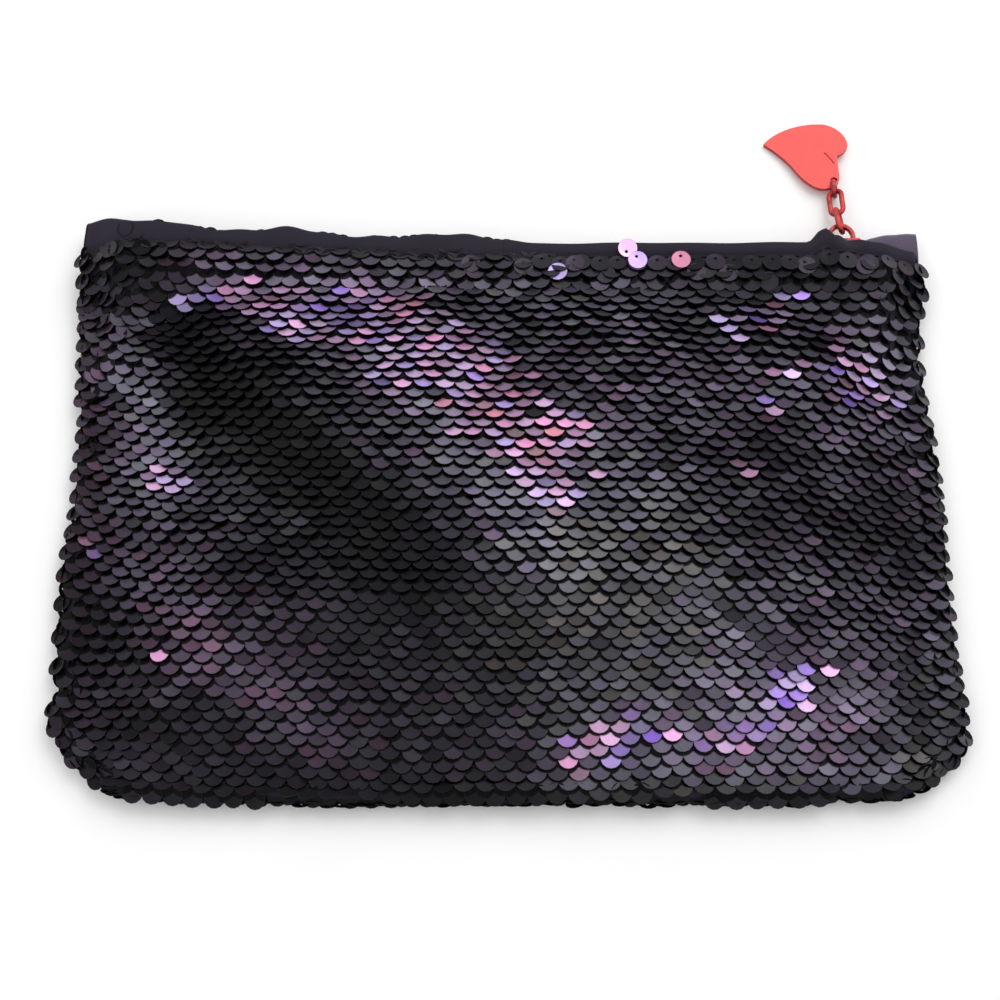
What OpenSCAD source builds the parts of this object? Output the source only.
// Flat zip pouch in sequinned fabric with a red heart charm on the slider.
// It lies on its back: X runs along the zip, Y from the bottom seam to the zip edge, Z up.
// The origin is the middle of the flat of the back panel, on the table.

/* [Bag] */
// Width across the two side seams
bag_w = 220; // [200:5:250]
// Height from the bottom seam to the zip edge
bag_h = 144; // [132:2:168]
// Thickness of the closed bag at its fullest point
bag_t = 18; // [17:0.5:24]
// Radius of the two bottom corners
corner_r = 15; // [10:1:20]
// Height of the side seam above the table
seam_z = 3; // [3:0.1:4]
// Thickness of the sequinned shell fabric
shell_t = 1.4; // [1.2:0.05:1.6]
// Thickness of the lining fabric
lining_t = 0.6; // [0.4:0.05:0.7]
// Distance from the shell's seam in to the lining's seam
lining_inset = 9.5; // [9.5:0.5:12]
// Height of the soft fold that crosses the front
fold_h = 2.2; // [1:0.1:3]

/* [Seams] */
// Depth of the straight band behind the zip edge
hem_depth = 14; // [12:1:18]
// Distance of the topstitching from the zip edge
stitch_inset = 4; // [3:0.25:6]
// Distance from one stitch to the next
stitch_pitch = 3; // [2.5:0.25:4]
// Length of one stitch
stitch_len = 2.2; // [1.6:0.1:2.4]
// Width of one stitch
stitch_w = 0.5; // [0.4:0.05:0.7]
// Thickness of the sewing thread
thread_t = 0.25; // [0.2:0.05:0.4]
// Width of the seam allowance inside the seams
allowance_w = 6; // [4:0.5:6]
// Distance from a seam to its allowance
allowance_inset = 2.5; // [2.5:0.25:4]
// Thickness of the seam allowance
allowance_t = 0.6; // [0.4:0.05:0.65]

/* [Zip] */
// Distance between two teeth of one side
tooth_pitch = 1.5; // [1.4:0.05:1.8]
// Width of a tooth along the zip
tooth_w = 0.55; // [0.4:0.05:0.6]
// Reach of a tooth past the middle of the zip
tooth_over = 0.55; // [0.4:0.05:0.7]
// Width of one half of the zip from its middle to its tape
coil_half_w = 2.15; // [2:0.05:2.4]
// Width of the plain back of a row of teeth
coil_back_w = 1.1; // [0.9:0.05:1.1]
// Thickness of the teeth
coil_t = 2; // [1.8:0.1:2.4]
// Thickness of the zip tape
tape_t = 0.5; // [0.4:0.05:0.6]
// Depth of the tape sewn between shell and lining
tape_leg = 10; // [8:0.5:12]
// Distance from a side seam to the end of the tape
tape_inset = 13; // [12:1:18]
// Size of a stop along the zip
stop_len = 1.6; // [1.2:0.1:2]
// Width of a fabric end tab where it meets the tape
tab_w = 3.5; // [3:0.1:4]
// Width of a fabric end tab at the side seam
tab_end_w = 2.4; // [1.6:0.1:2.6]
// Thickness of a fabric end tab
tab_t = 3; // [2:0.1:3.4]

/* [Slider] */
// Length of the slider
slider_len = 9; // [8:0.5:10]
// Half width of the slider at its forked end
slider_half_w = 3.7; // [3.6:0.05:4.2]
// Half width of the slider at its narrow end
slider_tail_half_w = 3.35; // [3.35:0.05:3.6]
// Thickness of each slider plate
plate_t = 0.9; // [0.8:0.05:1.2]
// Radius of the slider's corners
plate_corner_r = 1.2; // [0.8:0.1:1.4]
// Inner radius of the crown that holds the chain
crown_in_r = 2.7; // [2.5:0.05:2.8]
// Height of the crown's straight legs above the slider's top
crown_leg = 2.1; // [1:0.1:2.6]
// Thickness of the crown strap
crown_t = 0.9; // [0.8:0.05:1]
// Width of the crown strap
crown_w = 1.2; // [1:0.05:1.3]

/* [Chain and charm] */
// Outer length of a chain link
link_len = 8.8; // [8.2:0.1:9.4]
// Outer width of a chain link
link_w = 4.4; // [4.3:0.1:4.8]
// Wire radius of a chain link
link_wire_r = 0.5; // [0.4:0.025:0.5]
// Radius of the heart ring to the middle of its wire
ring_r = 2; // [2:0.05:2.4]
// Wire radius of the heart ring
ring_wire_r = 0.45; // [0.35:0.025:0.45]
// Length of the heart from its tip to its far lobe
heart_len = 22.8; // [19:0.2:28]
// Width of the heart across both lobes
heart_w = 20.4; // [17:0.2:25]
// Thickness of the heart
heart_t = 1.2; // [0.8:0.05:1.2]
// Radius of the hole in the heart
heart_hole_r = 0.95; // [0.9:0.05:1.1]
// Depth of the line engraved beside the notch
groove_depth = 0.3; // [0.1:0.05:0.4]
// Width of the engraved line
groove_w = 0.5; // [0.3:0.05:0.7]
// Width of metal left between the hole and the edge
heart_web = 0.95; // [0.8:0.05:1.1]

/* [Hidden] */

// Clearances
apart = 0.3;          // between pieces of different bodies
flat_cut = 0.25;      // the back's belly is pressed flat by this much
overrun = 1;          // how far a cutter reaches past what it cuts
lip_clear = 1.3;      // from the slider's side to the fabric lip
mesh_clear = 0.1;     // between wires that hang in each other
allowance_sink = 0.4; // from the back's seam down to the allowance's underside
tab_over = 0.3;       // how far a tab reaches past the middle of the zip

// Bag levels
half_w = bag_w / 2;
half_h = bag_h / 2;
bottom_y = -half_h;
zip_y = half_h;
back_in_z = shell_t - flat_cut;
lip_half_gap = slider_half_w + lip_clear;
chain_z = back_in_z + lip_half_gap;
lip_in_z = chain_z + lip_half_gap;
back_rim_z = seam_z - apart / 2;
front_rim_z = seam_z + apart / 2;
belly_rise = bag_t - shell_t - front_rim_z;
lip_rise = lip_in_z - front_rim_z;
back_fall = back_rim_z - back_in_z;

// Outline and section shapes of the cloth, as shares and powers
side_power = 3.2;
belly_run_share = 0.8;
belly_power = 2.2;
back_side_power = 100;
back_run_share = 0.2;
back_power = 3;
hem_blend_share = 0.4;
fold_start_shares = [-0.78, 0.72];
fold_end_shares = [0.24, -0.36];
fold_steep_share = 0.1;
fold_gentle_share = 0.24;
edge_crowding_share = 0.5;

// Grid of the cloth pieces
shell_columns = 36;
shell_rows = 22;
lining_columns = 24;
lining_rows = 14;
back_columns = 20;
back_rows = 10;
corner_rows = 4;

// Zip places
tape_half = half_w - tape_inset;
lip_flat = tape_half + overrun;
stop_x = tape_half - stop_len - apart;
lining_top_y = zip_y - stitch_inset + stitch_w;
coil_end_x = stop_x - apart;
slider_x = stop_x - apart - slider_len / 2;
post_gap = 0.15;
post_len = 2.6;
post_end_gap = 0.8;
teeth_end_x = slider_x + slider_len / 2 - post_end_gap - post_len - apart / 2;
moving_half = tape_half - 2 * slider_len + 2 * overrun;
coil_in_w = coil_half_w - coil_back_w;
stop_reach = 1;
stop_proud = 0.4;
post_half_w = coil_in_w - post_gap;

// Slider sections
channel_half_t = coil_t / 2 + apart;
slot_half_t = tape_t / 2 + apart;
plate_top_y = zip_y + channel_half_t + plate_t;
flange_in_w = coil_half_w + apart + post_gap;
flange_out_w = slider_tail_half_w;
flange_len = slider_len - 2 * plate_corner_r;
crown_mid_r = crown_in_r + crown_t / 2;

// Chain route: each wire hangs in the next one
link_mid_r = link_w / 2 - link_wire_r;
link_straight = link_len - link_w;
droop_1 = 22;
droop_2 = 12;
droop_3 = 8;
turn_1 = 60;
turn_2 = -30;
turn_3 = 70;
crown_eye = [slider_x, plate_top_y + crown_leg + crown_mid_r, chain_z];
function along(droop) = [0, cos(droop), -sin(droop)];
link_2_pivot = crown_eye
    + (link_straight + link_mid_r - 2 * link_wire_r - mesh_clear) * along(droop_1);
ring_pivot = link_2_pivot + (link_straight + 2 * link_mid_r) * along(droop_2);
ring_hang = ring_r - ring_wire_r - link_wire_r - mesh_clear;
ring_centre = ring_pivot + ring_hang * along(droop_3);
web_seat = ring_r - ring_wire_r - heart_web / 2 - heart_t / 4;
heart_hole = ring_centre + [0, web_seat + heart_web / 2 + heart_hole_r, 0];

// Heart outline, as shares of its length and width from its tip: end points and their handles
heart_tip_shares = [0, 0];
heart_curve_shares = [
    [[0.14, 0.185], [0.42, 0.305], [0.71, 0.276]],
    [[0.83, 0.264], [1, 0.12], [1, -0.06]],
    [[1, -0.12], [0.965, -0.185], [0.865, -0.227]],
    [[0.863, -0.3], [0.866, -0.39], [0.872, -0.47]],
    [[0.895, -0.66], [0.8, -0.735], [0.665, -0.724]],
    [[0.56, -0.715], [0.44, -0.58], [0.364, -0.447]],
    [[0.29, -0.3], [0.17, -0.155], [0, 0]]
];
hole_x_share = 0.803;
hole_floor_share = -0.694;
groove_start_shares = [0.722, -0.18];
groove_end_shares = [0.815, -0.335];
curve_steps = 9;
hole_in_heart = [hole_x_share * heart_len, hole_floor_share * heart_w + heart_web + heart_hole_r];
tip_reach = norm(hole_in_heart);
heart_tilt = asin((heart_hole[2] - heart_t / 2) / tip_reach);

fine = 48;
thread_fn = 24;

function clamp01(v) = min(1, max(0, v));
function smooth(v) = let (c = clamp01(v)) c * c * (3 - 2 * c);
function mix(a, b, w) = a + (b - a) * w;

// Half width of an outline at height y, inset from the bag's edge
function half_at(y, inset) =
    let (
        r = corner_r - inset * corner_r / bag_w,
        up = y - bottom_y - inset
    )
    up < r ? half_w - inset - r + sqrt(r * r - (r - max(up, 0)) * (r - max(up, 0))) : half_w - inset;

// A soft crease: steep on its lower left, gentle on its upper right
function fold(x, y) =
    let (
        a = [fold_start_shares[0] * half_w, fold_start_shares[1] * half_h],
        b = [fold_end_shares[0] * half_w, fold_end_shares[1] * half_h],
        d = (b - a) / norm(b - a),
        p = [x, y] - a,
        run = p * d / norm(b - a),
        off = p[1] * d[0] - p[0] * d[1],
        width = (off < 0 ? fold_steep_share : fold_gentle_share) * half_w,
        past = run < 0 ? -run : run > 1 ? run - 1 : 0
    )
    fold_h * exp(-off * off / (width * width)) * exp(-past * past * norm(b - a) / half_w * 16);

// Height of the front cloth above its seam; s is the share of the half width
function front_rise(s, x, y, inset) =
    let (
        side = 1 - pow(abs(s), side_power),
        run = clamp01((y - bottom_y - inset) / (belly_run_share * half_h)),
        belly = 1 - pow(1 - run, belly_power),
        body = side * belly * (belly_rise + fold(x, y) - fold_h),
        flat = lip_flat * (half_w - inset) / half_w,
        plateau = 1 - smooth((abs(x) - flat) / (half_w - inset - flat)),
        w = smooth((y - (zip_y - hem_depth - hem_blend_share * half_h)) / (hem_blend_share * half_h))
    )
    mix(body, lip_rise * plateau, w);

// Depth of the back cloth below its seam
function back_drop(s, y, inset) =
    let (
        side = 1 - pow(abs(s), back_side_power),
        run = clamp01((y - bottom_y - inset) / (back_run_share * half_h)),
        bottom = 1 - pow(1 - run, back_power)
    )
    back_fall * side * bottom;

// Shares of the half width, crowded towards the edges
function columns(n) = [
    for (i = [0:n]) let (u = 2 * i / n - 1) mix(u, sin(90 * u), edge_crowding_share)
];

// Rows from the bottom seam, following the corner arc first
function rows(low_y, high_y, n) = concat(
    [for (k = [0:corner_rows]) low_y + corner_r * (1 - cos(90 * k / corner_rows))],
    [for (k = [1:n]) mix(low_y + corner_r, high_y, k / n)]
);

// A closed sheet between two height functions over a grid
module sheet(shares, levels, inset, low, high) {
    nx = len(shares);
    ny = len(levels);
    count = nx * ny;
    top = [for (y = levels) for (s = shares) let (x = s * half_at(y, inset)) [x, y, high(s, x, y)]];
    under = [for (y = levels) for (s = shares) let (x = s * half_at(y, inset)) [x, y, low(s, x, y)]];
    function at(i, j) = i * nx + j;
    skin = [
        for (i = [0:ny - 2]) for (j = [0:nx - 2])
            each [
                [at(i, j), at(i + 1, j), at(i + 1, j + 1)],
                [at(i, j), at(i + 1, j + 1), at(i, j + 1)]
            ]
    ];
    inside = [for (f = skin) [f[0] + count, f[2] + count, f[1] + count]];
    ring = concat(
        [for (j = [0:nx - 1]) at(0, j)],
        [for (i = [1:ny - 1]) at(i, nx - 1)],
        [for (j = [nx - 2:-1:0]) at(ny - 1, j)],
        [for (i = [ny - 2:-1:1]) at(i, 0)]
    );
    wall = [
        for (k = [0:len(ring) - 1])
            let (a = ring[k], b = ring[(k + 1) % len(ring)])
            each [[a, b, b + count], [a, b + count, a + count]]
    ];
    polyhedron(points = concat(top, under), faces = concat(skin, inside, wall), convexity = 4);
}

// Straight bar along X with a profile drawn in Y and Z
module bar(x0, x1) {
    translate([x0, 0, 0]) rotate([90, 0, 90]) linear_extrude(x1 - x0) children();
}

// Shape drawn in X and Z, centred on the zip's plane
module zip_plate(y0, y1) {
    translate([0, y1, 0]) rotate([90, 0, 0]) linear_extrude(y1 - y0) children();
}

module front_panel() {
    low = function(s, x, y) front_rim_z + front_rise(s, x, y, 0);
    high = function(s, x, y) front_rim_z + front_rise(s, x, y, 0) + shell_t;
    color([0.16, 0.13, 0.2])
        sheet(columns(shell_columns), rows(bottom_y, zip_y, shell_rows), 0, low, high);
}

module front_lining() {
    under = tape_t + lining_t;
    low = function(s, x, y)
        front_rim_z + max(front_rise(s, x, y, lining_inset) - under, 0);
    high = function(s, x, y)
        front_rim_z + max(front_rise(s, x, y, lining_inset) - under, 0) + lining_t;
    color([0.1, 0.08, 0.13])
        sheet(columns(lining_columns),
              rows(bottom_y + lining_inset, lining_top_y, lining_rows),
              lining_inset, low, high);
}

module back_panel() {
    low = function(s, x, y) back_rim_z - back_drop(s, y, 0) - shell_t;
    high = function(s, x, y) back_rim_z - back_drop(s, y, 0);
    color([0.16, 0.13, 0.2])
        difference() {
            sheet(columns(back_columns), rows(bottom_y, zip_y, back_rows), 0, low, high);
            translate([-bag_w, -bag_h, -bag_t]) cube([2 * bag_w, 2 * bag_h, bag_t]);
        }
}

module back_lining() {
    low = function(s, x, y) back_rim_z - back_drop(x / half_at(y, 0), y, 0) + tape_t;
    high = function(s, x, y) back_rim_z - back_drop(x / half_at(y, 0), y, 0) + tape_t + lining_t;
    color([0.1, 0.08, 0.13])
        sheet(columns(back_columns),
              rows(bottom_y + lining_inset, lining_top_y, back_rows),
              lining_inset, low, high);
}

// Tape in section: a leg along the fabric and a web out to the teeth
module tape_profile(lip_z, side, leg) {
    web_w = lip_half_gap - coil_half_w;
    near_z = lip_z - side * web_w;
    translate([zip_y - tape_t / 2, min(lip_z, near_z)]) square([tape_t, web_w]);
    translate([zip_y + tape_t / 2 - leg, side > 0 ? lip_z - tape_t : lip_z])
        square([leg, tape_t]);
}

module front_tape() {
    color([0.07, 0.06, 0.09])
        bar(-moving_half, moving_half) tape_profile(lip_in_z, 1, tape_leg);
}

module back_tape() {
    color([0.07, 0.06, 0.09])
        bar(-tape_half, tape_half) tape_profile(back_in_z, -1, tape_leg);
}

// The tape's two ends stay with the back, so the leg is short and stands clear of the front
module front_tape_ends() {
    web_w = lip_half_gap - coil_half_w - apart;
    leg = zip_y + tape_t / 2 - lining_top_y - apart;
    color([0.07, 0.06, 0.09])
        for (side = [-1, 1])
            scale_x(side) bar(moving_half + apart, tape_half) {
                translate([zip_y - tape_t / 2, chain_z + coil_half_w]) square([tape_t, web_w]);
                translate([zip_y + tape_t / 2 - leg, lip_in_z - apart - tape_t])
                    square([leg, tape_t]);
            }
}

module scale_x(side) {
    if (side < 0) mirror([1, 0, 0]) children();
    else children();
}

// Comb of teeth between two places on the zip; teeth stop at last
function comb(x0, x1, phase, last) =
    let (
        first = ceil((x0 - phase + tooth_w) / tooth_pitch),
        final = floor((min(x1, last) - phase - tooth_w) / tooth_pitch)
    )
    concat(
        [[x0, coil_half_w], [x0, coil_in_w]],
        [
            for (k = [first:final])
                let (c = phase + k * tooth_pitch)
                each [
                    [c - tooth_w / 2, coil_in_w], [c - tooth_w / 2, -tooth_over],
                    [c + tooth_w / 2, -tooth_over], [c + tooth_w / 2, coil_in_w]
                ]
        ],
        [[x1, coil_in_w], [x1, coil_half_w]]
    );

module coil(x0, x1, phase, side) {
    translate([0, 0, chain_z]) zip_plate(zip_y - coil_t / 2, zip_y + coil_t / 2)
        scale_y(side) polygon(comb(x0, x1, phase, teeth_end_x));
}

module scale_y(side) {
    if (side < 0) mirror([0, 1]) children();
    else children();
}

module front_coil() {
    color([0.05, 0.05, 0.07]) coil(-moving_half, moving_half, 0, 1);
}

module front_coil_ends() {
    color([0.05, 0.05, 0.07]) {
        coil(-coil_end_x, -moving_half - apart, 0, 1);
        coil(moving_half + apart, coil_end_x, 0, 1);
    }
}

module back_coil() {
    color([0.05, 0.05, 0.07]) coil(-coil_end_x, coil_end_x, tooth_pitch / 2, -1);
}

// Row of stitches lying on the cloth at height z, reaching half_run each way
module stitches(z, half_run) {
    count = floor((2 * half_run - stitch_len) / stitch_pitch);
    straight = stitch_len - stitch_w;
    for (k = [0:count])
        translate([(k - count / 2) * stitch_pitch, zip_y - stitch_inset, z])
            linear_extrude(thread_t) {
                square([straight, stitch_w], center = true);
                for (side = [-1, 1]) translate([side * straight / 2, 0])
                    circle(d = stitch_w, $fn = thread_fn);
            }
}

module front_hem_stitches() {
    color([0.03, 0.03, 0.04]) stitches(lip_in_z + shell_t, lip_flat);
}

module back_hem_stitches() {
    color([0.03, 0.03, 0.04]) stitches(back_in_z + tape_t + lining_t, moving_half);
}

// Folded fabric tab that leads from the tape's end down to the side seam
module end_tab(side) {
    foot_share = columns(back_columns)[back_columns - 1];
    foot_x = foot_share * half_w;
    foot_z = back_rim_z - back_drop(foot_share, zip_y, 0);
    color([0.22, 0.15, 0.3])
        scale_x(side) zip_plate(zip_y - tab_t / 2, zip_y + tab_t / 2)
            polygon([
                [tape_half, chain_z + tab_over - tab_w], [foot_x, foot_z],
                [foot_x, foot_z + tab_end_w], [tape_half, chain_z + tab_over]
            ]);
}

module end_tab_left() {
    end_tab(-1);
}

module end_tab_right() {
    end_tab(1);
}

// Stop clamped round the edge of one tape
module top_stop(side) {
    translate([0, 0, chain_z]) scale_z(side)
        difference() {
            translate([stop_x, zip_y - coil_t / 2, coil_in_w])
                cube([stop_len, coil_t, coil_back_w + stop_reach]);
            translate([stop_x - overrun, zip_y - tape_t / 2, coil_half_w])
                cube([stop_len + 2 * overrun, tape_t, stop_reach + overrun]);
        }
}

module scale_z(side) {
    if (side < 0) mirror([0, 0, 1]) children();
    else children();
}

module top_stops() {
    color([0.05, 0.05, 0.07])
        for (side = [-1, 1]) top_stop(side);
}

// One wide stop that ties both halves together at the left end
module bottom_stop() {
    reach = coil_half_w + stop_reach;
    color([0.05, 0.05, 0.07])
        translate([-stop_x - stop_len, zip_y - coil_t / 2, chain_z])
            difference() {
                translate([0, 0, -reach]) cube([stop_len, coil_t, 2 * reach]);
                for (side = [-1, 1]) scale_z(side)
                    translate([-overrun, (coil_t - tape_t) / 2, coil_half_w])
                        cube([stop_len + 2 * overrun, tape_t, stop_reach + overrun]);
            }
}

module allowance(width, depth) {
    color([0.12, 0.1, 0.15])
        linear_extrude(allowance_t) square([width, depth], center = true);
}

allowance_z = back_rim_z - allowance_sink;
allowance_low_y = bottom_y + corner_r + 2 * overrun + allowance_inset;
allowance_high_y = zip_y - hem_depth;

module seam_allowance_side(side) {
    translate([
        side * (half_w - allowance_inset - allowance_w / 2),
        (allowance_low_y + allowance_high_y) / 2,
        allowance_z
    ])
        allowance(allowance_w, allowance_high_y - allowance_low_y);
}

module seam_allowance_left() {
    seam_allowance_side(-1);
}

module seam_allowance_right() {
    seam_allowance_side(1);
}

module seam_allowance_bottom() {
    translate([0, bottom_y + allowance_inset + allowance_w / 2, allowance_z])
        allowance(bag_w - 2 * corner_r - 2 * lining_inset, allowance_w);
}

// Outline of a slider plate: wide at the fork, narrow at the tail, with round corners
function plate_corner(x, z, from) = [
    for (k = [0:6])
        let (a = from + 15 * k)
        [x + plate_corner_r * cos(a), z + plate_corner_r * sin(a)]
];

module plate_outline() {
    head = slider_len / 2 - plate_corner_r;
    wide = slider_half_w - plate_corner_r;
    tail = slider_tail_half_w - plate_corner_r;
    polygon(concat(
        plate_corner(head, wide, 0),
        plate_corner(-head, tail, 90),
        plate_corner(-head, -tail, 180),
        plate_corner(head, -wide, 270)
    ));
}

// Lens-shaped post that parts the two rows of teeth
module post() {
    bulge_r = (post_len * post_len / 4 + post_half_w * post_half_w) / (2 * post_half_w);
    x = slider_len / 2 - post_end_gap - post_len / 2;
    translate([x, zip_y + channel_half_t, 0]) rotate([90, 0, 0])
        linear_extrude(2 * channel_half_t)
            intersection() {
                for_side(-1, bulge_r);
                for_side(1, bulge_r);
            }
}

module for_side(side, r) {
    translate([0, side * (r - post_half_w)]) circle(r = r, $fn = fine);
}

module flange(y_side, z_side) {
    tall = channel_half_t - slot_half_t;
    y = zip_y + (y_side > 0 ? slot_half_t : -channel_half_t);
    z = z_side > 0 ? flange_in_w : -flange_out_w;
    translate([-flange_len / 2, y, z]) cube([flange_len, tall, flange_out_w - flange_in_w]);
}

module slider_body() {
    color([0.85, 0.1, 0.1])
        translate([slider_x, 0, chain_z]) {
            zip_plate(zip_y + channel_half_t, plate_top_y) plate_outline();
            zip_plate(zip_y - channel_half_t - plate_t, zip_y - channel_half_t) plate_outline();
            post();
            for (y_side = [-1, 1]) for (z_side = [-1, 1]) flange(y_side, z_side);
        }
}

module slider_crown() {
    out_r = crown_in_r + crown_t;
    color([0.85, 0.1, 0.1])
        translate([slider_x, plate_top_y + crown_leg, chain_z - crown_w / 2])
            linear_extrude(crown_w) {
                difference() {
                    circle(r = out_r, $fn = fine);
                    circle(r = crown_in_r, $fn = fine);
                    translate([-out_r - overrun, -2 * out_r])
                        square([2 * (out_r + overrun), 2 * out_r]);
                }
                for (side = [-1, 1]) scale_x(side)
                    translate([crown_in_r, -crown_leg]) square([crown_t, crown_leg]);
            }
}

// Long link lying in X and Y, its near bend centred on the origin, its far bend along +Y
module long_link() {
    for (end = [0, 1])
        translate([0, end * link_straight, 0]) rotate([0, 0, end ? 0 : 180])
            rotate_extrude(angle = 180, $fn = fine)
                translate([link_mid_r, 0]) circle(r = link_wire_r, $fn = thread_fn);
    for (side = [-1, 1])
        translate([side * link_mid_r, 0, 0]) rotate([-90, 0, 0])
            cylinder(r = link_wire_r, h = link_straight, $fn = thread_fn);
}

module chain_link_1() {
    color([0.8, 0.12, 0.1])
        translate(crown_eye) rotate([-droop_1, 0, 0]) rotate([0, turn_1, 0]) long_link();
}

module chain_link_2() {
    color([0.8, 0.12, 0.1])
        translate(link_2_pivot + link_mid_r * along(droop_2))
            rotate([-droop_2, 0, 0]) rotate([0, turn_2, 0]) long_link();
}

module heart_ring() {
    color([0.8, 0.12, 0.1])
        translate(ring_centre) rotate([0, turn_3, 0])
            rotate_extrude($fn = fine)
                translate([ring_r, 0]) circle(r = ring_wire_r, $fn = thread_fn);
}

function curve_point(p, q, r, s, t) =
    pow(1 - t, 3) * p + 3 * pow(1 - t, 2) * t * q + 3 * (1 - t) * t * t * r + t * t * t * s;

function heart_outline() = [
    for (k = [0:len(heart_curve_shares) - 1]) for (i = [0:curve_steps - 1])
        let (
            start = k == 0 ? heart_tip_shares : heart_curve_shares[k - 1][2],
            c = heart_curve_shares[k],
            p = curve_point(start, c[0], c[1], c[2], i / curve_steps)
        )
        [p[0] * heart_len, p[1] * heart_w]
];

module groove() {
    a = [groove_start_shares[0] * heart_len, groove_start_shares[1] * heart_w];
    b = [groove_end_shares[0] * heart_len, groove_end_shares[1] * heart_w];
    long = norm(b - a);
    translate([a[0], a[1], heart_t / 2 - groove_depth])
        rotate([0, 0, atan2(b[1] - a[1], b[0] - a[0])])
            linear_extrude(groove_depth + overrun) {
                translate([0, -groove_w / 2]) square([long, groove_w]);
                circle(d = groove_w, $fn = thread_fn);
                translate([long, 0]) circle(d = groove_w, $fn = thread_fn);
            }
}

module heart_charm() {
    color([0.9, 0.12, 0.1])
        translate(heart_hole)
            rotate(a = heart_tilt, v = [-hole_in_heart[1], hole_in_heart[0], 0] * -1)
                translate([-hole_in_heart[0], -hole_in_heart[1], 0])
                    difference() {
                        translate([0, 0, -heart_t / 2]) linear_extrude(heart_t)
                            polygon(heart_outline());
                        translate([hole_in_heart[0], hole_in_heart[1], -heart_t])
                            cylinder(r = heart_hole_r, h = 2 * heart_t, $fn = fine);
                        groove();
                    }
}

back_panel();
back_lining();
back_tape();
back_coil();
back_hem_stitches();
front_panel();
front_lining();
front_tape();
front_coil();
front_hem_stitches();
front_tape_ends();
front_coil_ends();
end_tab_left();
end_tab_right();
top_stops();
bottom_stop();
seam_allowance_left();
seam_allowance_right();
seam_allowance_bottom();
slider_body();
slider_crown();
chain_link_1();
chain_link_2();
heart_ring();
heart_charm();
